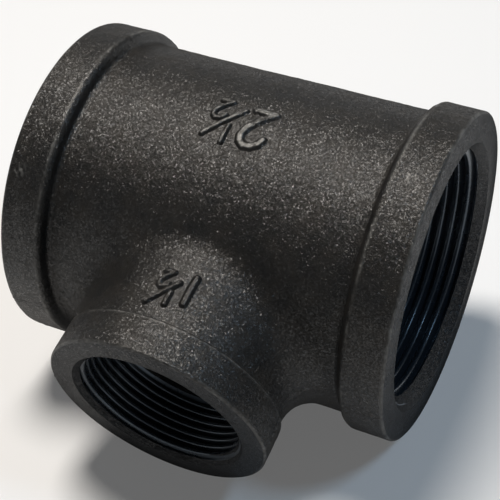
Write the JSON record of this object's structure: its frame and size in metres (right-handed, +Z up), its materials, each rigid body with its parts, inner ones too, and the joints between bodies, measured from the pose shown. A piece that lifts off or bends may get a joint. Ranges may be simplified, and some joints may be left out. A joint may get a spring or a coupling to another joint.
{
  "type": "threaded reducing tee pipe fitting",
  "caption": "Black malleable-iron pipe tee: a straight run with banded, threaded ports and a smaller threaded branch square to it.",
  "frame": {"origin": "middle of the footprint at floor level, with the tee lying on both run bands and the rim of the branch", "axes": "+X along the run, towards the right run port; +Z up; the branch points along -Y and droops 14.5 degrees below level"},
  "size_m": [0.1098, 0.1148, 0.0912],
  "materials": {
    "cast_iron": "sand-cast, dark oxide"
  },
  "bodies": {
    "root": {"barrel": "cast_iron", "right_run_socket": "cast_iron", "left_run_socket": "cast_iron", "branch_socket": "cast_iron", "run_size_numerals": "cast_iron", "branch_size_numerals": "cast_iron"}
  },
  "joints": []
}
